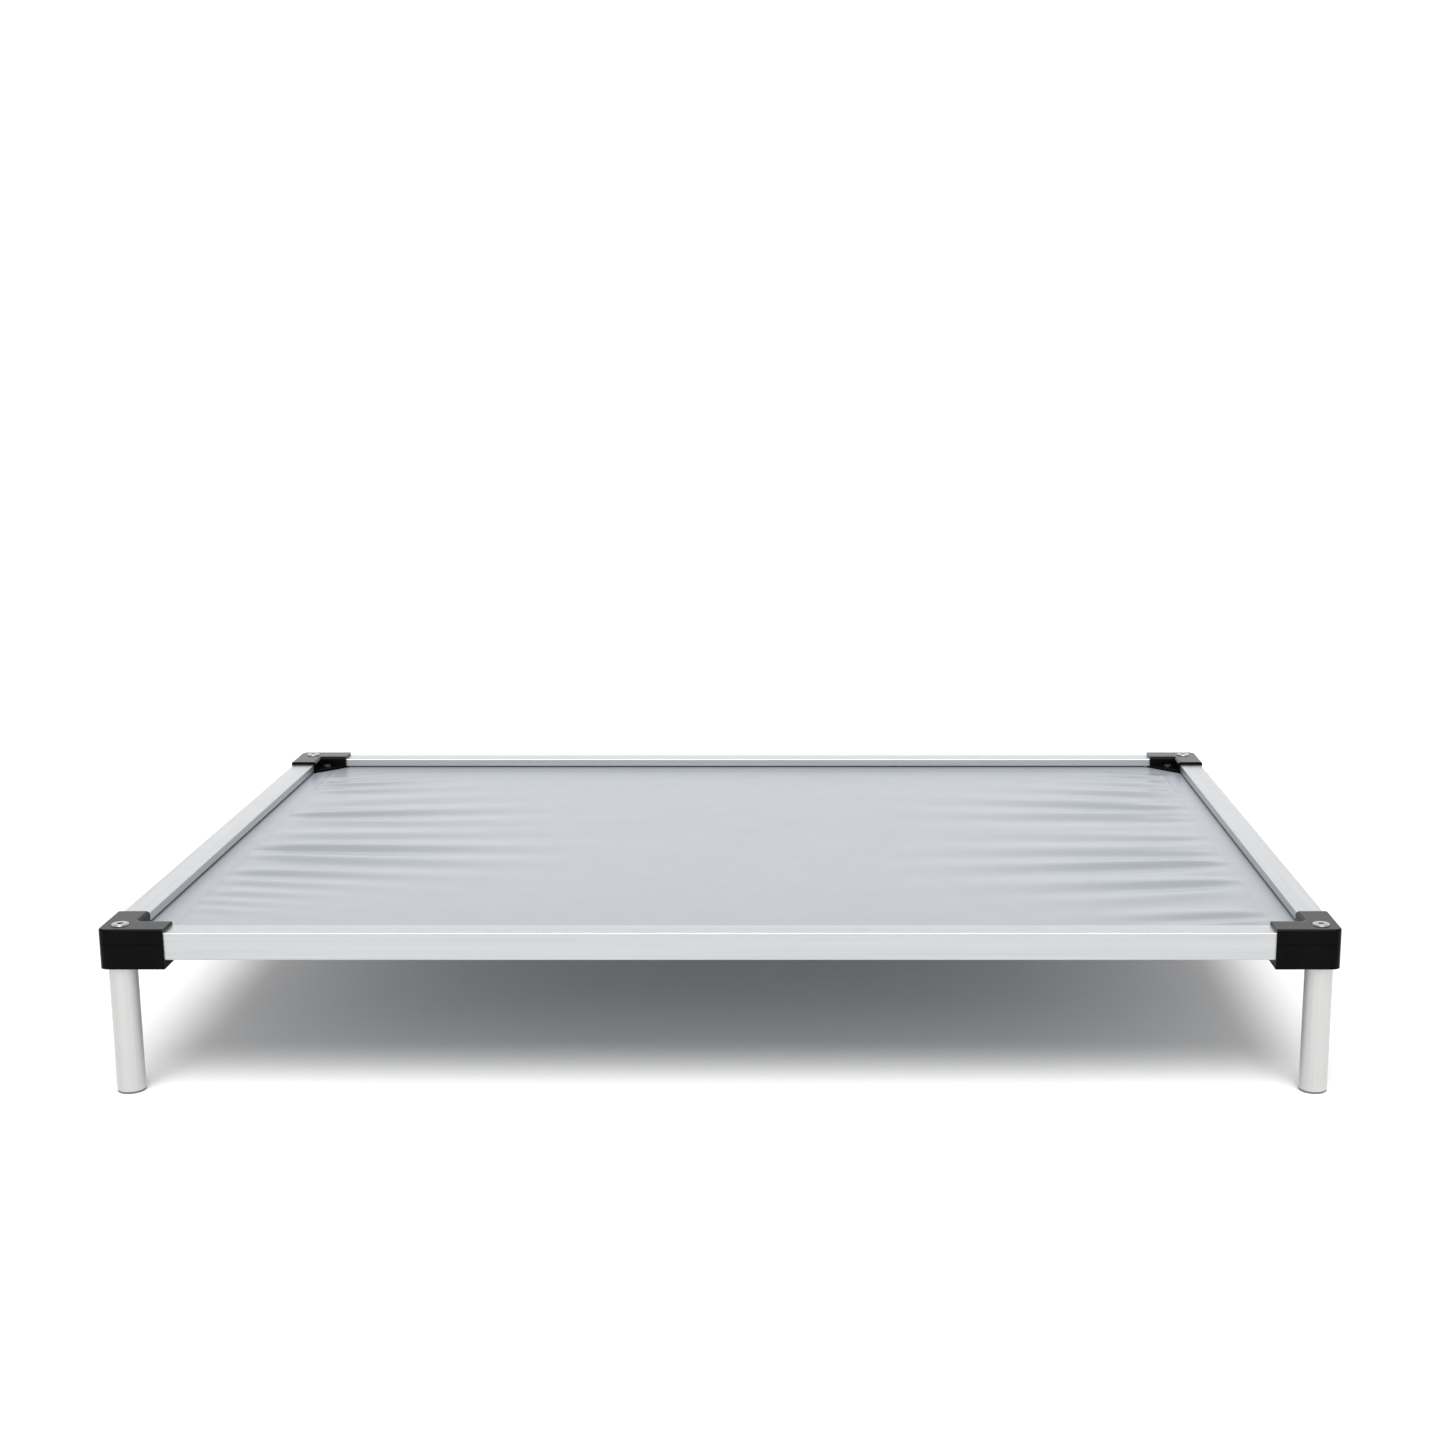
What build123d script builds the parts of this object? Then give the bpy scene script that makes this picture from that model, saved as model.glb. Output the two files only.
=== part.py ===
"""Raised dog bed: a sling of coated cloth held in a frame of four square aluminium rails.

Each corner is a two-part moulded fitting, a cap over a base, that clamps the ends of two
rails and holds the top of a round leg. One bolt runs down through the cap into a threaded
plug in the leg, and a small screw and nut pull the two mouldings together at the gusset.
Each edge of the cloth is welded to a tape that is folded round a plastic rod, and the rod
lies in a groove in the rail.

Millimetres. X runs along the long side, Y from front to back and Z up. The origin is the
middle of the bed on the floor.
"""

from build123d import *

import os

# Overall size, over the faces of the corner fittings
length = 1100.0
depth = 755.0

# Height, from the floor up
leg_clearance = 118.4  # floor to the underside of a fitting
base_wall = 8.2  # fitting's floor, under a rail
rail_size = 25.0  # square tube
top_wall = 3.4  # fitting's roof, over a rail

# Rail section
rail_wall = 1.6
rail_corner = 1.0  # outside corner of the tube
groove_drop = 9.9  # rail's top to the middle of the cloth groove
groove_mouth = 3.4
groove_bore = 8.4
groove_wall = 1.4

# Corner fitting
outer_wall = 1.3
inner_wall = 3.0
rail_gap = 0.1  # rail to fitting, each side
arm_length = 58.6
corner_radius = 8.0
outer_edge_round = 1.8
inner_edge_round = 3.6
inside_corner_round = 2.0
cap_gusset = 3.2
base_gusset = 6.0
gusset_edge_round = 0.8
seam_groove = 0.5  # shadow line between cap and base
socket_wall = 2.5
peg_diameter = 6.0
peg_height = 3.0
peg_gap = 0.2
core_depth = 5.4  # pockets in the underside of the base
core_wall = 2.4

# Leg
leg_diameter = 25.0
leg_wall = 1.5
leg_inset = 16.3  # fitting's outer face to the leg's axis
leg_gap = 0.1  # leg to its socket, on the radius
leg_end_gap = 0.3
foot_thickness = 2.0
foot_chamfer = 0.5
foot_stem = 14.0
foot_stem_wall = 2.0
plug_length = 24.0
plug_gap = 0.05

# Leg bolt, M8 with a low round head
bolt_diameter = 8.0
bolt_head = 15.5
bolt_head_height = 2.4
bolt_head_round = 1.0
bolt_length = 24.0
bolt_socket = 5.0
bolt_socket_depth = 1.5
bolt_seat_depth = 1.2
bolt_seat_gap = 0.4
bolt_gap = 0.2
thread_gap = 0.05

# Gusset screw, M5 with a pan head, and its nut
screw_diameter = 5.0
screw_head = 9.0
screw_head_height = 2.6
screw_head_round = 1.0
screw_socket = 3.0
screw_socket_depth = 1.4
screw_gap = 0.2
screw_end = 1.0  # thread standing below the nut
nut_flats = 8.0
nut_height = 4.0
nut_pocket_depth = 3.0
nut_gap = 0.1

# Cloth, and the tapes that hold its edges
cloth = 0.6
cloth_drop = 0.1  # middle of the groove to the top of the cloth
tape = 0.45  # one layer, and there are two under the cloth
tape_width = 24.0  # rail's inner face to the edge of the weld
tape_loop = 7.0  # outside, round the rod
tape_end_gap = 6.0  # end of a tape to the fitting beside it
rod_drop = 0.6  # middle of the groove to the middle of the rod
rod_gap = 0.05
gusset_cloth_gap = 1.0

# Heights and places that follow
base_bottom = leg_clearance
rail_bottom = base_bottom + base_wall
rail_top = rail_bottom + rail_size
height = rail_top + top_wall
groove_height = rail_top - groove_drop
rod_height = groove_height - rod_drop
seam_height = groove_height - cloth_drop  # top of the cloth, where the cap meets the base
rail_face = outer_wall + rail_gap  # fitting's outer face to the rail's outer face
rail_inner = rail_face + rail_size
arm_width = rail_inner + rail_gap + inner_wall
rail_start = leg_inset + leg_diameter / 2 + leg_gap + socket_wall
leg_top = rail_top - leg_end_gap
groove_depth = rail_wall + groove_bore / 2  # rail's inner face to the middle of the groove
peg_place = (rail_start + arm_length) / 2
gusset_side = arm_length - arm_width
screw_place = arm_width + gusset_side * (1 - 0.5**0.5)  # middle of the gusset's incircle
gusset_top = seam_height + cap_gusset
gusset_bottom = seam_height - base_gusset

corners = {
    "front_left": Location((-length / 2, -depth / 2, 0), (0, 0, 0)),
    "front_right": Location((length / 2, -depth / 2, 0), (0, 0, 90)),
    "back_right": Location((length / 2, depth / 2, 0), (0, 0, 180)),
    "back_left": Location((-length / 2, depth / 2, 0), (0, 0, 270)),
}


def save(part, name):
    """Writes one piece to its own file."""
    part.label = name
    export_step(part, f"parts/{name}.step")


def save_at_corners(part, name):
    """Writes a copy of a corner piece for each corner. It is drawn at the front left,
    with the fitting's outer corner at X = Y = 0."""
    for corner, place in corners.items():
        save(part.moved(place), f"{name}_{corner}")


def arm_plan():
    """The plan of a fitting: two arms at a right angle, round at the outer corner."""
    with BuildSketch() as plan:
        with BuildLine():
            bend = corner_radius
            Line((bend, 0), (arm_length, 0))
            Line((arm_length, 0), (arm_length, arm_width))
            FilletPolyline(
                (arm_length, arm_width),
                (arm_width, arm_width),
                (arm_width, arm_length),
                radius=inside_corner_round,
            )
            Line((arm_width, arm_length), (0, arm_length))
            Line((0, arm_length), (0, bend))
            RadiusArc((0, bend), (bend, 0), -corner_radius)
        make_face()
    return plan.sketch


def gusset_plan():
    """The triangle that fills the inside corner, from arm end to arm end."""
    lap = inner_wall / 2
    with BuildSketch() as plan:
        with BuildLine():
            Polyline(
                (arm_width - lap, arm_width - lap),
                (arm_length, arm_width - lap),
                (arm_length, arm_width),
                (arm_width, arm_length),
                (arm_width - lap, arm_length),
                close=True,
            )
        make_face()
    return plan.sketch


def channel_plan():
    """The two channels that the rail ends lie in."""
    run = arm_length - rail_start
    across = rail_size + 2 * rail_gap
    middle = outer_wall + across / 2
    with BuildSketch() as plan:
        with Locations((rail_start + run / 2, middle)):
            Rectangle(run, across)
        with Locations((middle, rail_start + run / 2)):
            Rectangle(across, run)
    return plan.sketch


def socket_plan():
    """The round socket for the leg."""
    with BuildSketch() as plan:
        with Locations((leg_inset, leg_inset)):
            Circle(leg_diameter / 2 + leg_gap)
    return plan.sketch


def is_arm_end(edge):
    """Whether an edge of the fitting's rim lies across the end of an arm."""
    place = edge.center()
    return max(place.X, place.Y) > arm_length - outer_wall / 2


def is_inner(edge):
    """Whether an edge of the fitting's rim is on the side that faces the cloth."""
    place = edge.center()
    return min(place.X, place.Y) > arm_width / 2


def make_cap():
    """Upper moulding, with the seats for the bolt and the screw."""
    with BuildPart() as cap:
        with BuildSketch(Plane.XY.offset(seam_height)):
            add(arm_plan())
        extrude(amount=height - seam_height)
        # The long top edges are round, and the ends of the arms stay square
        rim = cap.faces().sort_by(Axis.Z)[-1].edges().filter_by(lambda edge: not is_arm_end(edge))
        inner = rim.filter_by(is_inner)
        outer = rim.filter_by(lambda edge: not is_inner(edge))
        fillet(inner, inner_edge_round)
        fillet(outer, outer_edge_round)
        with BuildSketch(Plane.XY.offset(seam_height)):
            add(gusset_plan())
        extrude(amount=cap_gusset)
        across = Axis((0, 0, 0), (1, 1, 0))
        edges = cap.edges().filter_by_position(Axis.Z, gusset_top, gusset_top)
        fillet(edges.sort_by(across)[-1], gusset_edge_round)
        with BuildSketch(Plane.XY.offset(seam_height)):
            add(channel_plan())
        extrude(amount=rail_top + rail_gap - seam_height, mode=Mode.SUBTRACT)
        with BuildSketch(Plane.XY.offset(seam_height)):
            add(socket_plan())
        extrude(amount=rail_top - seam_height, mode=Mode.SUBTRACT)
        with Locations(Location((leg_inset, leg_inset, height))):
            CounterBoreHole(
                radius=bolt_diameter / 2 + bolt_gap,
                counter_bore_radius=bolt_head / 2 + bolt_seat_gap,
                counter_bore_depth=bolt_seat_depth,
                depth=height - seam_height,
            )
        with Locations(Location((screw_place, screw_place, gusset_top))):
            Hole(radius=screw_diameter / 2 + screw_gap, depth=cap_gusset)
    return cap.part


def make_base():
    """Lower moulding, which carries the rails and is cored out from below."""
    with BuildPart() as base:
        with BuildSketch(Plane.XY.offset(base_bottom)):
            add(arm_plan())
        extrude(amount=seam_height - base_bottom)
        # Shadow line round the outside, where the cap meets the base
        with BuildSketch(Plane.XY.offset(seam_height - seam_groove)):
            add(arm_plan())
            offset(arm_plan(), amount=-seam_groove, mode=Mode.SUBTRACT)
        extrude(amount=seam_groove, mode=Mode.SUBTRACT)
        with BuildSketch(Plane.XY.offset(gusset_bottom)):
            add(gusset_plan())
        extrude(amount=base_gusset)
        with BuildSketch(Plane.XY.offset(rail_bottom)):
            add(channel_plan())
        extrude(amount=seam_height - rail_bottom, mode=Mode.SUBTRACT)
        with BuildSketch(Plane.XY.offset(base_bottom)):
            add(socket_plan())
        extrude(amount=seam_height - base_bottom, mode=Mode.SUBTRACT)
        # Pegs that stop the rails from pulling out
        with BuildSketch(Plane.XY.offset(rail_bottom)):
            middle = rail_face + rail_size / 2
            with Locations((peg_place, middle), (middle, peg_place)):
                Circle(peg_diameter / 2)
        extrude(amount=peg_height)
        # Pockets under the arms, two to an arm with a rib between
        run = arm_length - rail_start - core_wall
        pocket = (run - core_wall) / 2
        across = arm_width - 2 * core_wall
        with BuildSketch(Plane.XY.offset(base_bottom)):
            for step in (0, 1):
                place = rail_start + pocket / 2 + step * (pocket + core_wall)
                with Locations((place, arm_width / 2)):
                    Rectangle(pocket, across)
                with Locations((arm_width / 2, place)):
                    Rectangle(across, pocket)
        extrude(amount=core_depth, mode=Mode.SUBTRACT)
        with Locations(Location((screw_place, screw_place, seam_height))):
            Hole(radius=screw_diameter / 2 + screw_gap, depth=base_gusset)
        with BuildSketch(Plane.XY.offset(gusset_bottom)):
            with Locations((screw_place, screw_place)):
                RegularPolygon(nut_flats / 2 + nut_gap, 6, major_radius=False)
        extrude(amount=nut_pocket_depth, mode=Mode.SUBTRACT)
    return base.part


def make_leg_tube():
    """Round tube from the foot cap to the fitting's roof."""
    with BuildPart() as tube:
        with BuildSketch(Plane.XY.offset(foot_thickness)):
            with Locations((leg_inset, leg_inset)):
                Circle(leg_diameter / 2)
                Circle(leg_diameter / 2 - leg_wall, mode=Mode.SUBTRACT)
        extrude(amount=leg_top - foot_thickness)
    return tube.part


def make_foot_cap():
    """Moulded foot, a disc as wide as the tube with a hollow stem inside it."""
    bore = leg_diameter / 2 - leg_wall - plug_gap
    with BuildPart() as foot:
        with BuildSketch():
            with Locations((leg_inset, leg_inset)):
                Circle(leg_diameter / 2)
        extrude(amount=foot_thickness)
        chamfer(foot.faces().sort_by(Axis.Z)[0].edges(), foot_chamfer)
        with BuildSketch(Plane.XY.offset(foot_thickness)):
            with Locations((leg_inset, leg_inset)):
                Circle(bore)
                Circle(bore - foot_stem_wall, mode=Mode.SUBTRACT)
        extrude(amount=foot_stem)
    return foot.part


def make_leg_plug():
    """Threaded plug fixed in the top of the leg."""
    with BuildPart() as plug:
        with BuildSketch(Plane.XY.offset(leg_top - plug_length)):
            with Locations((leg_inset, leg_inset)):
                Circle(leg_diameter / 2 - leg_wall - plug_gap)
                Circle(bolt_diameter / 2, mode=Mode.SUBTRACT)
        extrude(amount=plug_length)
    return plug.part


def make_leg_bolt():
    """Bolt down through the cap into the leg's plug."""
    seat = height - bolt_seat_depth
    with BuildPart() as bolt:
        with BuildSketch(Plane.XY.offset(seat)):
            with Locations((leg_inset, leg_inset)):
                Circle(bolt_head / 2)
        extrude(amount=bolt_head_height)
        fillet(bolt.faces().sort_by(Axis.Z)[-1].edges(), bolt_head_round)
        with BuildSketch(Plane.XY.offset(seat + bolt_head_height)):
            with Locations((leg_inset, leg_inset)):
                RegularPolygon(bolt_socket / 2, 6, major_radius=False)
        extrude(amount=-bolt_socket_depth, mode=Mode.SUBTRACT)
        with BuildSketch(Plane.XY.offset(seat)):
            with Locations((leg_inset, leg_inset)):
                Circle(bolt_diameter / 2 - thread_gap)
        extrude(amount=-bolt_length)
    return bolt.part


def make_gusset_screw():
    """Screw that pulls the cap and the base together."""
    shank = gusset_top - gusset_bottom + nut_height - nut_pocket_depth + screw_end
    with BuildPart() as screw:
        with BuildSketch(Plane.XY.offset(gusset_top)):
            with Locations((screw_place, screw_place)):
                Circle(screw_head / 2)
        extrude(amount=screw_head_height)
        fillet(screw.faces().sort_by(Axis.Z)[-1].edges(), screw_head_round)
        with BuildSketch(Plane.XY.offset(gusset_top + screw_head_height)):
            with Locations((screw_place, screw_place)):
                RegularPolygon(screw_socket / 2, 6, major_radius=False)
        extrude(amount=-screw_socket_depth, mode=Mode.SUBTRACT)
        with BuildSketch(Plane.XY.offset(gusset_top)):
            with Locations((screw_place, screw_place)):
                Circle(screw_diameter / 2 - thread_gap)
        extrude(amount=-shank)
    return screw.part


def make_gusset_nut():
    """Nut in its pocket under the gusset."""
    with BuildPart() as nut:
        with BuildSketch(Plane.XY.offset(gusset_bottom + nut_pocket_depth)):
            with Locations((screw_place, screw_place)):
                RegularPolygon(nut_flats / 2, 6, major_radius=False)
                Circle(screw_diameter / 2, mode=Mode.SUBTRACT)
        extrude(amount=-nut_height)
    return nut.part


def rail_section():
    """The rail's section. The inner face, with the cloth groove, is at X = 0, the tube goes
    towards minus X, and the heights are the real ones."""
    middle = rail_bottom + rail_size / 2
    with BuildSketch() as section:
        with Locations((-rail_size / 2, middle)):
            RectangleRounded(rail_size, rail_size, rail_corner)
            Rectangle(rail_size - 2 * rail_wall, rail_size - 2 * rail_wall, mode=Mode.SUBTRACT)
        with Locations((-groove_depth, groove_height)):
            Circle(groove_bore / 2 + groove_wall)
        with Locations((-groove_depth / 2, groove_height)):
            Rectangle(groove_depth, groove_mouth + 2 * groove_wall)
        with Locations((-groove_depth, groove_height)):
            Circle(groove_bore / 2, mode=Mode.SUBTRACT)
        with Locations((-groove_depth / 2, groove_height)):
            Rectangle(groove_depth, groove_mouth, mode=Mode.SUBTRACT)
    return section.sketch


def make_rail(run):
    """A rail along Y with its groove facing plus X, and a hole for a peg near each end."""
    with BuildPart() as rail:
        with BuildSketch(Plane.XZ.offset(-run / 2)):
            add(rail_section())
        extrude(amount=run)
        peg_inset = run / 2 - (peg_place - rail_start)
        with BuildSketch(Plane.XY.offset(rail_bottom)):
            with Locations((-rail_size / 2, peg_inset), (-rail_size / 2, -peg_inset)):
                Circle(peg_diameter / 2 + peg_gap)
        extrude(amount=rail_wall, mode=Mode.SUBTRACT)
    return rail.part


def tape_run(side):
    """Length of the tape and the rod on a side of the bed that is this long over all."""
    return side - 2 * (arm_length + tape_end_gap)


def make_hem_rod(run):
    """The rod in a tape, along Y, as far behind the rail's inner face as the groove."""
    with BuildPart() as rod:
        with BuildSketch(Plane.XZ.offset(-run / 2)):
            with Locations((-groove_depth, rod_height)):
                Circle(tape_loop / 2 - tape - rod_gap)
        extrude(amount=run)
    return rod.part


def make_hem_tape(run):
    """The tape along Y: a loop round the rod, and its two layers out through the rail's mouth
    and under the edge of the cloth."""
    under_cloth = seam_height - cloth - tape
    with BuildPart() as strip:
        with BuildSketch(Plane.XZ.offset(-run / 2)):
            with Locations((-groove_depth, rod_height)):
                Circle(tape_loop / 2)
            with Locations(((tape_width - groove_depth) / 2, under_cloth)):
                Rectangle(tape_width + groove_depth, 2 * tape)
            with Locations((-groove_depth, rod_height)):
                Circle(tape_loop / 2 - tape, mode=Mode.SUBTRACT)
        extrude(amount=run)
    return strip.part


def make_cloth():
    """The sling, a flat sheet with its corners cut off at the gussets."""
    half_x = length / 2 - rail_inner
    half_y = depth / 2 - rail_inner
    # Where a cut meets each long edge, measured along the edge from the uncut corner
    cut = arm_length + arm_width - 2 * rail_inner + gusset_cloth_gap * 2**0.5
    with BuildPart() as sheet:
        with BuildSketch(Plane.XY.offset(seam_height - cloth)):
            with BuildLine():
                Polyline(
                    (half_x, half_y - cut),
                    (half_x - cut, half_y),
                    (cut - half_x, half_y),
                    (-half_x, half_y - cut),
                    (-half_x, cut - half_y),
                    (cut - half_x, -half_y),
                    (half_x - cut, -half_y),
                    (half_x, cut - half_y),
                    close=True,
                )
            make_face()
        extrude(amount=cloth)
    return sheet.part


def main():
    os.makedirs("parts", exist_ok=True)

    save_at_corners(make_cap(), "corner_cap")
    save_at_corners(make_base(), "corner_base")
    save_at_corners(make_leg_tube(), "leg_tube")
    save_at_corners(make_foot_cap(), "foot_cap")
    save_at_corners(make_leg_plug(), "leg_plug")
    save_at_corners(make_leg_bolt(), "leg_bolt")
    save_at_corners(make_gusset_screw(), "gusset_screw")
    save_at_corners(make_gusset_nut(), "gusset_nut")

    # A rail, tape or rod is drawn along Y with the cloth on its plus X side, then turned
    sides = {
        "left": (Location((rail_inner - length / 2, 0, 0), (0, 0, 0)), depth),
        "front": (Location((0, rail_inner - depth / 2, 0), (0, 0, 90)), length),
        "right": (Location((length / 2 - rail_inner, 0, 0), (0, 0, 180)), depth),
        "back": (Location((0, depth / 2 - rail_inner, 0), (0, 0, 270)), length),
    }
    for side, (place, run) in sides.items():
        save(make_rail(run - 2 * rail_start).moved(place), f"rail_{side}")
        save(make_hem_tape(tape_run(run)).moved(place), f"hem_tape_{side}")
        save(make_hem_rod(tape_run(run)).moved(place), f"hem_rod_{side}")

    save(make_cloth(), "cloth_panel")


main()
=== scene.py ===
"""Looks of the raised dog bed: its metal, mouldings and cloth, on a pale studio floor.

Metres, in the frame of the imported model. The sling is a sheet of coated cloth, simulated
between its four hems, and each hem is a tape that is folded round a rod.
"""

import math
from types import SimpleNamespace

import bpy
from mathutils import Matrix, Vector, noise


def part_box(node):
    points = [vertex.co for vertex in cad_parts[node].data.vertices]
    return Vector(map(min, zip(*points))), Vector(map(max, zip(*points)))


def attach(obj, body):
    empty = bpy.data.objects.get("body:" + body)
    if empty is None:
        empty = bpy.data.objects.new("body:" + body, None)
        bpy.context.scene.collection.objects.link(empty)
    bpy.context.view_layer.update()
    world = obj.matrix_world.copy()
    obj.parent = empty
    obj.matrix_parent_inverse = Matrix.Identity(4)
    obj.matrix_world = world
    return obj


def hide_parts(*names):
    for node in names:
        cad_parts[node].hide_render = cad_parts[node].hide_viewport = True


# Camera
CAMERA_PLACE = (0.0886, -2.1401, 0.6892)
CAMERA_TILT = math.radians(77.85)
CAMERA_LENS = 51.9
CAMERA_SENSOR = 36.0
CAMERA_SHIFT = (-0.0677, 0.0247)
CAMERA_REACH = 50.0
FLOOR_SIZE = 40.0

# Light
HORIZON_LIGHT = 1.6
SKY_LIGHT = 0.6
HORIZON_TOP = math.radians(18)
SKY_START = math.radians(42)
OVERHEAD_LIGHT = 3.6
OVERHEAD_WIDTH = math.radians(44)
OVERHEAD_TILT = math.radians(27)

# Colours, from dark to light where there are two
RAIL_ALUMINIUM = (0.50, 0.509, 0.518)
LEG_ALUMINIUM = (0.54, 0.542, 0.535)
FOOT_GREY = (0.10, 0.10, 0.11)
ROD_GREY = (0.12, 0.12, 0.13)
CLOTH_GREY = (0.196, 0.213, 0.236)
# Hem tape colour, much darker than the cloth: painted shade that stands for the shadow line in each
# rail's groove
WEBBING_SHADE_GREY = (0.05, 0.053, 0.058)
NYLON_BLACKS = (0.001, 0.001, 0.0012), (0.002, 0.002, 0.0022)
ZINC_GREYS = (0.26, 0.27, 0.28), (0.44, 0.45, 0.46)
OXIDE_BLACKS = (0.012, 0.012, 0.014), (0.04, 0.04, 0.042)
FLOOR_WHITES = (0.72, 0.72, 0.72), (0.74, 0.74, 0.74)

# Finishes. A relief is the height of a pattern in metres. A number of lines, bands, blotches,
# clouds or grains is about how many there are to a metre.
NOISE_SPREAD = (0.3, 0.7)  # noise mostly stays between these
DIE_LINES = 420.0
DIE_BANDS = 90.0
DIE_STRETCH = 0.012  # their number along a rail or leg, as a share of that across it
DIE_SPREAD = (0.75, 1.25)  # the sum of two noises mostly stays between these
DIE_RELIEF = 0.000012
ETCH_CLOUDS = 60.0
ETCH_SPREAD = (0.35, 0.65)
ETCH_GRAIN = 2600.0
ETCH_RELIEF = 0.000006
RAIL_ROUGH = 0.38
LEG_ROUGH = 0.58
NYLON_FLOW = 70.0
NYLON_FLOW_STRETCH = 0.35  # their number up a fitting, as a share of that across it
NYLON_FLOW_RELIEF = 0.00002
NYLON_GRAIN = 1500.0
NYLON_GRAIN_RELIEF = 0.000006
MOULDING_CLOUDS = 60.0
MOULDING_GRAIN = 900.0
MOULDING_RELIEF = 0.00002
ZINC_BLOTCHES = 260.0
ZINC_GRAIN = 1800.0
ZINC_RELIEF = 0.00001
OXIDE_BLOTCHES = 400.0
OXIDE_RELIEF = 0.00001
CLOTH_CLOUDS = 9.0
CLOTH_SHEEN = 35.0
FLOOR_CLOUDS = 1.5
WEAVE = 320.0  # gives about 1000 threads to a metre
WEAVE_RELIEF = 0.000005

# Cloth
GRID_STEP = (0.012, 0.007)  # cells of the simulated sheet, before they are halved
CLOTH_THICK = 0.0006
CLOTH_LAP = 0.001  # how far its edge reaches into the groove of a rail
WELD_WIDTH = 0.024  # rail's inner face to the edge of the weld
WELD_RIDGE = 0.00025  # height of the ridge along the edge of a weld
WELD_RIDGE_WIDTH = 0.0016
SLACK = 0.03  # share by which the sheet is too wide beside the end welds
SLACK_FADE = 0.13  # how far from the weld it has mostly gone
SLACK_UNEVEN = 0.07
SLACK_PATCHES = 14.0
PULL_X = 0.01  # share by which it is too small elsewhere
PULL_Y = 0.003
RUFFLE = 0.0014  # height of the ruffles that it starts with
RUFFLE_START = 0.02  # from the weld's edge to their full height
RUFFLE_FADE = 0.08
WIDE_RUFFLES = (4.0, 18.0)  # how many there are to a metre along X and along Y
FINE_RUFFLES = (7.0, 50.0)
FINE_SHARE = 0.25

# Settings of the cloth's simulation, chosen for its looks
VERTEX_MASS = 0.05
AIR_DAMPING = 2.0
GRAVITY = 0.15
STIFF_STRETCH = 60.0
STIFF_SHEAR = 20.0
STIFF_BEND = 100.0
DAMP_STRETCH = 10.0
DAMP_BEND = 2.0
SUBSTEPS = 6
FIT_FRAMES = 12
SETTLE_FRAMES = 26
EVEN_TURNS = 3  # how often the settled sheet is smoothed

# Tape folded round the rod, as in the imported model
TAPE_THICK = 0.00045
TAPE_CLEAR = 0.00002  # from layer to layer, and from the tape to the rod
TAPE_GRID = (4, 24)
LOOP_TURN = math.radians(350)
LOOP_STEPS = 28

CLOSE = 0.00001  # what still counts as the same place
SMOOTH_ANGLE = math.radians(40)  # an edge that turns more than this stays sharp


def deselect_all():
    bpy.ops.object.select_all(action="DESELECT")


def activate(piece):
    """Makes a piece the only selected object, and the active one."""
    deselect_all()
    piece.select_set(True)
    bpy.context.view_layer.objects.active = piece


def select_points(piece, test):
    """In edit mode, selects the vertices whose place passes the test."""
    bpy.ops.object.mode_set(mode="EDIT")
    bpy.ops.mesh.select_mode(type="VERT")
    bpy.ops.mesh.select_all(action="DESELECT")
    bpy.ops.object.mode_set(mode="OBJECT")
    for point in piece.data.vertices:
        point.select = test(point.co)
    bpy.ops.object.mode_set(mode="EDIT")


def face_outwards():
    """In object mode, turns the active piece's faces outwards."""
    bpy.ops.object.mode_set(mode="EDIT")
    bpy.ops.mesh.select_all(action="SELECT")
    bpy.ops.mesh.normals_make_consistent(inside=False)
    bpy.ops.object.mode_set(mode="OBJECT")


def apply_modifier(modifier):
    bpy.ops.object.modifier_apply(modifier=modifier.name)


def shaded(colour, share):
    """The same colour, lighter or darker."""
    return tuple(share * c for c in colour)


def paint(piece, material):
    piece.data.materials.clear()
    piece.data.materials.append(material)


# ---------------------------------------------------------------- materials


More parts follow.
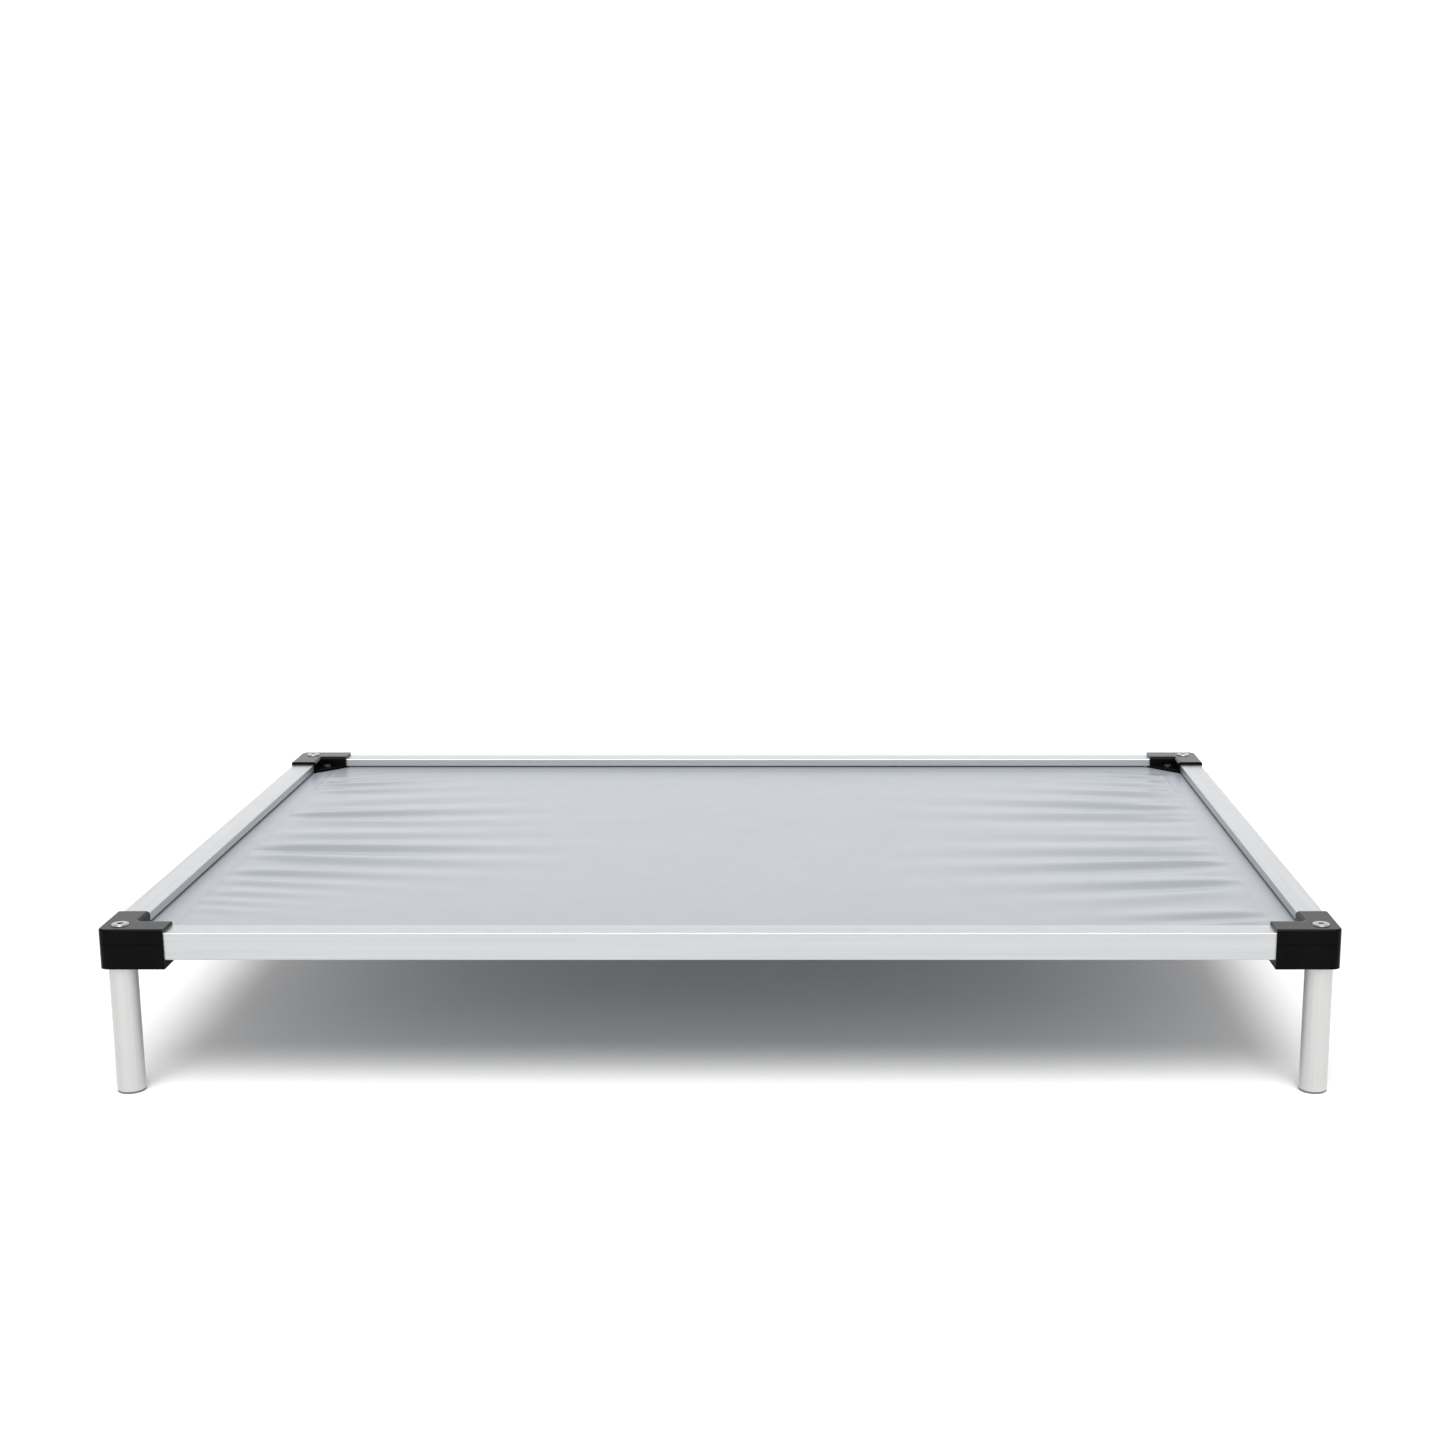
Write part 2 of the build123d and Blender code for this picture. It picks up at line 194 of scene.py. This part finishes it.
class Finish:
    """A material with a Principled shader, and short ways to feed it patterns."""

    def __init__(self, name, colour, metallic=0.0, roughness=0.5, specular=0.5):
        self.material = bpy.data.materials.new(name)
        self.material.use_nodes = True
        self.nodes = self.material.node_tree.nodes
        self.links = self.material.node_tree.links
        self.shader = self.nodes["Principled BSDF"]
        self.shader.inputs["Base Color"].default_value = (*colour, 1.0)
        self.shader.inputs["Metallic"].default_value = metallic
        self.shader.inputs["Roughness"].default_value = roughness
        self.shader.inputs["Specular IOR Level"].default_value = specular
        self.place = self.nodes.new("ShaderNodeTexCoord").outputs["Object"]

    def stretched(self, scale):
        """Object coordinates, stretched differently along each axis."""
        mapping = self.nodes.new("ShaderNodeMapping")
        mapping.inputs["Scale"].default_value = scale
        self.links.new(self.place, mapping.inputs["Vector"])
        return mapping.outputs["Vector"]

    def noise(self, where, scale, detail=2.0):
        texture = self.nodes.new("ShaderNodeTexNoise")
        texture.inputs["Scale"].default_value = scale
        texture.inputs["Detail"].default_value = detail
        self.links.new(where, texture.inputs["Vector"])
        return texture.outputs["Fac"]

    def ramp(self, value, low, high, low_out, high_out):
        """A value from low to high, as one from low_out to high_out."""
        node = self.nodes.new("ShaderNodeMapRange")
        node.inputs["From Min"].default_value = low
        node.inputs["From Max"].default_value = high
        node.inputs["To Min"].default_value = low_out
        node.inputs["To Max"].default_value = high_out
        self.links.new(value, node.inputs["Value"])
        return node.outputs["Result"]

    def blend(self, value, colour_a, colour_b):
        node = self.nodes.new("ShaderNodeMix")
        node.data_type = "RGBA"
        node.inputs["A"].default_value = (*colour_a, 1.0)
        node.inputs["B"].default_value = (*colour_b, 1.0)
        self.links.new(value, node.inputs["Factor"])
        return node.outputs["Result"]

    def add(self, first, second):
        node = self.nodes.new("ShaderNodeMath")
        node.operation = "ADD"
        self.links.new(first, node.inputs[0])
        self.links.new(second, node.inputs[1])
        return node.outputs["Value"]

    def colour(self, value, low, high, colour_a, colour_b):
        """Base colour that goes from one to the other as the value rises."""
        mixed = self.blend(self.ramp(value, low, high, 0.0, 1.0), colour_a, colour_b)
        self.links.new(mixed, self.shader.inputs["Base Color"])

    def roughness(self, value, low, high, smooth, rough):
        result = self.ramp(value, low, high, smooth, rough)
        self.links.new(result, self.shader.inputs["Roughness"])

    def bump(self, value, height, under=None):
        """Adds relief of that height in metres. It returns the normal, for the next one."""
        node = self.nodes.new("ShaderNodeBump")
        node.inputs["Strength"].default_value = 1.0
        node.inputs["Distance"].default_value = height
        self.links.new(value, node.inputs["Height"])
        if under:
            self.links.new(under, node.inputs["Normal"])
        self.links.new(node.outputs["Normal"], self.shader.inputs["Normal"])
        return node.outputs["Normal"]


def anodised(name, along, colour, rough):
    """Satin clear anodised extrusion: fine die lines along one axis over an etched grain."""
    finish = Finish(name, colour, metallic=1.0, roughness=rough)
    scale = [1.0, 1.0, 1.0]
    scale["XYZ".index(along)] = DIE_STRETCH
    run = finish.stretched(scale)
    lines = finish.noise(run, DIE_LINES, detail=4.0)
    bands = finish.noise(run, DIE_BANDS)
    grain = finish.noise(finish.place, ETCH_GRAIN, detail=1.0)
    finish.colour(finish.add(lines, bands), *DIE_SPREAD, shaded(colour, 0.94), shaded(colour, 1.03))
    clouds = finish.noise(finish.place, ETCH_CLOUDS)
    finish.roughness(clouds, *ETCH_SPREAD, rough - 0.01, rough + 0.015)
    relief = finish.bump(lines, DIE_RELIEF)
    finish.bump(grain, ETCH_RELIEF, relief)
    return finish.material


def moulded_nylon():
    """Black glass-filled nylon: a glossy skin with a fine grain and flow marks."""
    finish = Finish("black_nylon", NYLON_BLACKS[0], roughness=0.14, specular=0.05)
    drawn_out = finish.stretched((1.0, 1.0, NYLON_FLOW_STRETCH))
    flow = finish.noise(drawn_out, NYLON_FLOW, detail=3.0)
    grain = finish.noise(finish.place, NYLON_GRAIN)
    finish.colour(flow, *NOISE_SPREAD, *NYLON_BLACKS)
    finish.roughness(flow, *NOISE_SPREAD, 0.11, 0.17)
    relief = finish.bump(flow, NYLON_FLOW_RELIEF)
    finish.bump(grain, NYLON_GRAIN_RELIEF, relief)
    return finish.material


def grey_moulding(name, colour):
    """Plain matte moulded plastic."""
    finish = Finish(name, colour, roughness=0.55)
    grain = finish.noise(finish.place, MOULDING_GRAIN, detail=3.0)
    clouds = finish.noise(finish.place, MOULDING_CLOUDS)
    finish.colour(clouds, *NOISE_SPREAD, shaded(colour, 0.85), shaded(colour, 1.1))
    finish.roughness(grain, *NOISE_SPREAD, 0.48, 0.62)
    finish.bump(grain, MOULDING_RELIEF)
    return finish.material


def zinc_plate():
    """Bright zinc on steel, faintly blotched."""
    finish = Finish("bright_zinc", ZINC_GREYS[0], metallic=1.0, roughness=0.3)
    blotches = finish.noise(finish.place, ZINC_BLOTCHES, detail=3.0)
    finish.colour(blotches, *NOISE_SPREAD, *ZINC_GREYS)
    finish.roughness(blotches, *NOISE_SPREAD, 0.29, 0.38)
    finish.bump(finish.noise(finish.place, ZINC_GRAIN), ZINC_RELIEF)
    return finish.material


def black_oxide():
    """Blackened steel screw."""
    finish = Finish("black_oxide", OXIDE_BLACKS[0], metallic=0.6, roughness=0.35)
    blotches = finish.noise(finish.place, OXIDE_BLOTCHES, detail=3.0)
    finish.colour(blotches, *NOISE_SPREAD, *OXIDE_BLACKS)
    finish.roughness(blotches, *NOISE_SPREAD, 0.28, 0.42)
    finish.bump(blotches, OXIDE_RELIEF)
    return finish.material


def coated_cloth(name, colour):
    """Satin vinyl over a plain weave, whose threads show as a faint emboss."""
    finish = Finish(name, colour, roughness=0.32)
    clouds = finish.noise(finish.place, CLOTH_CLOUDS, detail=3.0)
    finish.colour(clouds, *NOISE_SPREAD, shaded(colour, 0.985), shaded(colour, 1.015))
    sheen = finish.noise(finish.place, CLOTH_SHEEN, detail=3.0)
    finish.roughness(sheen, *NOISE_SPREAD, 0.285, 0.31)
    warp = finish.nodes.new("ShaderNodeTexWave")
    weft = finish.nodes.new("ShaderNodeTexWave")
    for threads, axis in ((warp, "X"), (weft, "Y")):
        threads.wave_type = "BANDS"
        threads.bands_direction = axis
        threads.inputs["Scale"].default_value = WEAVE
        finish.links.new(finish.place, threads.inputs["Vector"])
    weave = finish.add(warp.outputs["Fac"], weft.outputs["Fac"])
    finish.bump(weave, WEAVE_RELIEF)
    return finish.material


def floor_paint():
    """Matt white studio floor."""
    finish = Finish("white_floor", FLOOR_WHITES[0], roughness=0.9, specular=0.0)
    clouds = finish.noise(finish.place, FLOOR_CLOUDS)
    finish.colour(clouds, *NOISE_SPREAD, *FLOOR_WHITES)
    return finish.material


# ---------------------------------------------------------------- studio


def make_camera():
    deselect_all()
    bpy.ops.object.camera_add(location=CAMERA_PLACE, rotation=(CAMERA_TILT, 0, 0))
    camera = bpy.context.object
    camera.data.lens = CAMERA_LENS
    camera.data.sensor_width = CAMERA_SENSOR
    camera.data.shift_x, camera.data.shift_y = CAMERA_SHIFT
    camera.data.clip_end = CAMERA_REACH
    bpy.context.scene.camera = camera


def make_floor():
    deselect_all()
    bpy.ops.mesh.primitive_plane_add(size=FLOOR_SIZE, location=(0, 0, 0))
    floor = bpy.context.object
    floor.name = "studio_floor"
    paint(floor, floor_paint())


def make_surroundings():
    """A white horizon that dims overhead, so that gloss has something to show."""
    world = bpy.data.worlds.new("studio")
    bpy.context.scene.world = world
    world.use_nodes = True
    nodes, links = world.node_tree.nodes, world.node_tree.links
    where = nodes.new("ShaderNodeTexCoord")
    split = nodes.new("ShaderNodeSeparateXYZ")
    links.new(where.outputs["Generated"], split.inputs["Vector"])
    fade = nodes.new("ShaderNodeMapRange")
    fade.interpolation_type = "SMOOTHSTEP"
    fade.inputs["From Min"].default_value = math.sin(HORIZON_TOP)
    fade.inputs["From Max"].default_value = math.sin(SKY_START)
    fade.inputs["To Min"].default_value = HORIZON_LIGHT
    fade.inputs["To Max"].default_value = SKY_LIGHT
    links.new(split.outputs["Z"], fade.inputs["Value"])
    sky = nodes["Background"]
    sky.inputs["Color"].default_value = (1.0, 1.0, 1.0, 1.0)
    links.new(fade.outputs["Result"], sky.inputs["Strength"])


def make_light():
    """One very wide light from overhead and a little in front."""
    lamp = bpy.data.lights.new("overhead", "SUN")
    lamp.energy = OVERHEAD_LIGHT
    lamp.angle = OVERHEAD_WIDTH
    overhead = bpy.data.objects.new("overhead", lamp)
    overhead.rotation_euler = (OVERHEAD_TILT, 0, 0)
    bpy.context.scene.collection.objects.link(overhead)


def keep_colours_plain():
    view = bpy.context.scene.view_settings
    view.view_transform = "Standard"
    view.look = "None"


# ---------------------------------------------------------------- cloth


def cloth_outline(panel):
    """Half the sheet's width and depth, and how much each corner is cut by."""
    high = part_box("cloth_panel")[1]
    end_points = [abs(p.co.y) for p in panel.data.vertices if p.co.x > high.x - CLOSE]
    cut = high.y - max(end_points)
    return high.x + CLOTH_LAP, high.y + CLOTH_LAP, cut + 2 * CLOTH_LAP


def weld_depth():
    """From the sheet's edge, in the groove's mouth, to the edge of the weld."""
    rail_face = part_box("rail_left")[1].x
    return rail_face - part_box("cloth_panel")[0].x + CLOTH_LAP + WELD_WIDTH


def make_grid(half_x, half_y, cut):
    """A flat sheet of even cells, with its corners cut off."""
    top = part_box("cloth_panel")[1].z
    deselect_all()
    bpy.ops.mesh.primitive_grid_add(
        x_subdivisions=round(2 * half_x / GRID_STEP[0]),
        y_subdivisions=round(2 * half_y / GRID_STEP[1]),
        size=2.0,
        location=(0, 0, top),
    )
    sheet = bpy.context.object
    sheet.name = "cloth_sling"
    sheet.scale = (half_x, half_y, 1.0)
    bpy.ops.object.transform_apply(location=True, rotation=True, scale=True)
    bpy.ops.object.mode_set(mode="EDIT")
    for side_x in (-1, 1):
        for side_y in (-1, 1):
            bpy.ops.mesh.select_all(action="SELECT")
            bpy.ops.mesh.bisect(
                plane_co=(side_x * (half_x - cut), side_y * half_y, top),
                plane_no=(side_x, side_y, 0),
                clear_outer=True,
            )
    bpy.ops.object.mode_set(mode="OBJECT")
    return sheet


def edge_distance(point, half_x, half_y):
    """How far a point of the sheet is from the nearest end and the nearest side."""
    return half_x - abs(point.co.x), half_y - abs(point.co.y)


def uneven(x, y, which):
    """A smooth value, from about -1 to 1, that is uneven in another way for each which."""
    return noise.noise(Vector((x, y, which)))


def ruffle(x, y):
    """Where the slack cloth first gives: long low ridges along X, uneven and unlike."""
    wide = uneven(x * WIDE_RUFFLES[0], y * WIDE_RUFFLES[1], 3.1)
    fine = uneven(x * FINE_RUFFLES[0], y * FINE_RUFFLES[1], 7.7)
    return wide + FINE_SHARE * fine


def cut_place(place, beside, inside):
    """Where a point of the sheet lies before it is pulled to its welds. Beside the end welds
    the cloth is unevenly too wide for them; elsewhere it is a little too small."""
    x, y, z = place
    end = 6.7 if x > 0 else 1.7  # so that the two ends are unlike
    patch = y + SLACK_UNEVEN * uneven(y * SLACK_PATCHES, end, 0.3)
    wider = SLACK * math.exp(-beside / SLACK_FADE)
    rise = 0.0
    if inside > 0:
        rise = min(inside / RUFFLE_START, 1.0) * RUFFLE * math.exp(-beside / RUFFLE_FADE)
    return x * (1 - PULL_X), y * (1 - PULL_Y) + wider * patch, z + rise * ruffle(x, y)


def lay_out(sheet, half_x, half_y, weld):
    """Holds the sheet by everything outside the weld's edge, and moves that from where it
    was cut to where it is fitted over the first frames."""
    held = sheet.vertex_groups.new(name="held")
    cut = sheet.shape_key_add(name="cut")
    fitted = sheet.shape_key_add(name="fitted")
    for point in sheet.data.vertices:
        end, side = edge_distance(point, half_x, half_y)
        inside = min(end, side) - weld
        if inside <= 0:
            held.add([point.index], 1.0, "REPLACE")
        fitted.data[point.index].co = point.co
        cut.data[point.index].co = cut_place(point.co, max(end - weld, 0.0), inside)
    fitted.value = 0.0
    fitted.keyframe_insert("value", frame=1)
    fitted.value = 1.0
    fitted.keyframe_insert("value", frame=FIT_FRAMES)


def cloth_physics(sheet):
    """A stiff light cloth with thick folds, held by the group named held."""
    cloth = sheet.modifiers.new("cloth", "CLOTH")
    physics = cloth.settings
    physics.quality = SUBSTEPS
    physics.mass = VERTEX_MASS
    physics.air_damping = AIR_DAMPING
    physics.effector_weights.gravity = GRAVITY
    physics.tension_stiffness = STIFF_STRETCH
    physics.compression_stiffness = STIFF_STRETCH
    physics.shear_stiffness = STIFF_SHEAR
    physics.bending_model = "ANGULAR"
    physics.bending_stiffness = STIFF_BEND
    physics.tension_damping = DAMP_STRETCH
    physics.compression_damping = DAMP_STRETCH
    physics.shear_damping = DAMP_STRETCH
    physics.bending_damping = DAMP_BEND
    physics.vertex_group_mass = "held"
    physics.pin_stiffness = 1.0
    cloth.collision_settings.use_collision = False
    cloth.collision_settings.use_self_collision = False
    cloth.point_cache.frame_start = 1
    cloth.point_cache.frame_end = SETTLE_FRAMES


def freeze(sheet):
    """Replaces the sheet's mesh by the simulated one."""
    graph = bpy.context.evaluated_depsgraph_get()
    settled = bpy.data.meshes.new_from_object(sheet.evaluated_get(graph))
    settled.name = "cloth_sling"
    sheet.modifiers.clear()
    sheet.data = settled


def even_out(sheet):
    """Takes the cells' own ripple out of the sheet's height, and halves the cells."""
    activate(sheet)
    even = sheet.modifiers.new("even", "SMOOTH")
    even.use_x = False
    even.use_y = False
    even.iterations = EVEN_TURNS
    apply_modifier(even)
    finer = sheet.modifiers.new("finer", "SUBSURF")
    finer.levels = 1
    finer.render_levels = 1
    apply_modifier(finer)


def settle(sheet, half_x, half_y, weld):
    """Pulls the sheet to its welds, and lets it ruffle beside the end ones."""
    lay_out(sheet, half_x, half_y, weld)
    cloth_physics(sheet)
    scene = bpy.context.scene
    for frame_number in range(1, SETTLE_FRAMES + 1):
        scene.frame_set(frame_number)
    freeze(sheet)
    even_out(sheet)
    scene.frame_set(1)


def raise_welds(sheet, half_x, half_y, weld):
    """A low ridge along the edge of each weld: three lines are cut, and the middle one rises."""
    flank = WELD_RIDGE_WIDTH / 2
    bpy.ops.object.mode_set(mode="EDIT")
    for axis, half in (((1, 0, 0), half_x), ((0, 1, 0), half_y)):
        for side in (-1, 1):
            for step in (-1, 0, 1):
                place = Vector(axis) * side * (half - weld + step * flank)
                bpy.ops.mesh.select_all(action="SELECT")
                bpy.ops.mesh.bisect(plane_co=place, plane_no=axis)
    bpy.ops.object.mode_set(mode="OBJECT")
    for point in sheet.data.vertices:
        end, side = edge_distance(point, half_x, half_y)
        near = min(abs(end - weld), abs(side - weld))
        if near < flank / 2 and min(end, side) > weld - flank:
            point.co.z += WELD_RIDGE


def thicken(piece, thickness, offset):
    """Gives a sheet its thickness: below its surface at an offset of -1, to both sides at 0."""
    activate(piece)
    solid = piece.modifiers.new("thickness", "SOLIDIFY")
    solid.thickness = thickness
    solid.offset = offset
    apply_modifier(solid)


def make_sling(half_x, half_y, cut, material):
    """The sheet between the rails."""
    weld = weld_depth()
    sheet = make_grid(half_x, half_y, cut)
    settle(sheet, half_x, half_y, weld)
    activate(sheet)
    raise_welds(sheet, half_x, half_y, weld)
    thicken(sheet, CLOTH_THICK, -1.0)
    bpy.ops.object.shade_smooth_by_angle(angle=SMOOTH_ANGLE)
    paint(sheet, material)
    return sheet


# ---------------------------------------------------------------- hem tapes


def tape_fold(like, across, along):
    """The sizes of a tape's fold, from the tape, rod and rail of the side that it is like, each
    to the middle of the tape's thickness. It runs along one axis and is folded across the other."""
    low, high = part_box(f"hem_tape_{like}")
    rod_low, rod_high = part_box(f"hem_rod_{like}")
    rod = (rod_low + rod_high) / 2
    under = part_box("cloth_panel")[0].z
    lower = under - 1.5 * TAPE_THICK - 2 * TAPE_CLEAR
    radius = (rod_high.z - rod_low.z) / 2 + TAPE_THICK / 2 + TAPE_CLEAR
    neck = math.sqrt(radius**2 - (rod.z - lower) ** 2)
    return SimpleNamespace(
        run=high[along] - low[along],
        rod=(rod[across], 0, rod.z),
        neck=rod[across] + neck,
        weld=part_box(f"rail_{like}")[1][across] + WELD_WIDTH,
        lower=lower,
        upper=under - 0.5 * TAPE_THICK - TAPE_CLEAR,
    )


def lower_layer(fold):
    """The flat lower layer, from the edge of the weld to the loop round the rod."""
    deselect_all()
    bpy.ops.mesh.primitive_grid_add(
        x_subdivisions=TAPE_GRID[0],
        y_subdivisions=TAPE_GRID[1],
        size=1.0,
        location=((fold.weld + fold.neck) / 2, 0, fold.lower),
    )
    tape = bpy.context.object
    tape.scale = (fold.weld - fold.neck, fold.run, 1.0)
    bpy.ops.object.transform_apply(location=True, rotation=True, scale=True)
    return tape


def fold_over(tape, fold):
    """Takes the tape round the rod, and back to the weld as the upper layer."""
    select_points(tape, lambda place: place.x < fold.neck + CLOSE)
    bpy.ops.mesh.spin(
        steps=LOOP_STEPS, angle=LOOP_TURN, center=fold.rod, axis=(0, 1, 0), use_normal_flip=False
    )
    bpy.ops.object.mode_set(mode="OBJECT")
    for point in tape.data.vertices:
        if point.select:
            point.co.z = fold.upper
    bpy.ops.object.mode_set(mode="EDIT")
    back = (fold.weld - fold.neck, 0, 0)
    bpy.ops.mesh.extrude_region_move(TRANSFORM_OT_translate={"value": back})
    bpy.ops.object.mode_set(mode="OBJECT")


def make_tape(side, turn, material):
    """One hem tape. It is folded as if it were on the left, and then turned to its side."""
    fold = tape_fold("left", 0, 1) if turn % 180 == 0 else tape_fold("front", 1, 0)
    tape = lower_layer(fold)
    tape.name = f"hem_tape_folded_{side}"
    fold_over(tape, fold)
    thicken(tape, TAPE_THICK, 0.0)
    tape.rotation_euler = (0, 0, math.radians(turn))
    bpy.ops.object.transform_apply(location=True, rotation=True, scale=True)
    face_outwards()
    bpy.ops.object.shade_smooth_by_angle(angle=SMOOTH_ANGLE)
    paint(tape, material)
    return tape


# ---------------------------------------------------------------- scene


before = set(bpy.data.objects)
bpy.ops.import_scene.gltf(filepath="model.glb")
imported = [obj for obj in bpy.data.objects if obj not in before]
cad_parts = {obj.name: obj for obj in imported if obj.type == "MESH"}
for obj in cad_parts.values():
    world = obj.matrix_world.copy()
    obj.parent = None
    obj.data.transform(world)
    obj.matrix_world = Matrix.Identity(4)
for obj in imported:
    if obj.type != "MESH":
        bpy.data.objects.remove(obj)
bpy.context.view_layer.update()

make_camera()
make_floor()
make_surroundings()
make_light()
keep_colours_plain()

rail_long = anodised("anodised_rail_long", "X", RAIL_ALUMINIUM, RAIL_ROUGH)
rail_short = anodised("anodised_rail_short", "Y", RAIL_ALUMINIUM, RAIL_ROUGH)
leg_metal = anodised("anodised_leg", "Z", LEG_ALUMINIUM, LEG_ROUGH)
nylon = moulded_nylon()
foot_grey = grey_moulding("grey_foot", FOOT_GREY)
rod_grey = grey_moulding("grey_rod", ROD_GREY)
zinc = zinc_plate()
oxide = black_oxide()
vinyl = coated_cloth("coated_cloth", CLOTH_GREY)
# The hem tapes' material carries painted shade: its near-black colour stands for the shadow in the
# rails' grooves
webbing_shade = coated_cloth("hem_webbing_painted_shade", WEBBING_SHADE_GREY)

FINISHES = {
    "corner_cap": nylon,
    "corner_base": nylon,
    "leg_tube": leg_metal,
    "foot_cap": foot_grey,
    "leg_plug": foot_grey,
    "leg_bolt": zinc,
    "gusset_screw": oxide,
    "gusset_nut": zinc,
    "hem_rod": rod_grey,
    "rail_front": rail_long,
    "rail_back": rail_long,
    "rail_left": rail_short,
    "rail_right": rail_short,
}
for node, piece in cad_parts.items():
    for start, finish in FINISHES.items():
        if node.startswith(start):
            paint(piece, finish)

half_x, half_y, cut = cloth_outline(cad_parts["cloth_panel"])
sling = make_sling(half_x, half_y, cut, vinyl)
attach(sling, "root")
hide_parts("cloth_panel")

for side, turn in (("left", 0), ("front", 90), ("right", 180), ("back", 270)):
    tape = make_tape(side, turn, webbing_shade)
    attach(tape, "root")
    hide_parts(f"hem_tape_{side}")
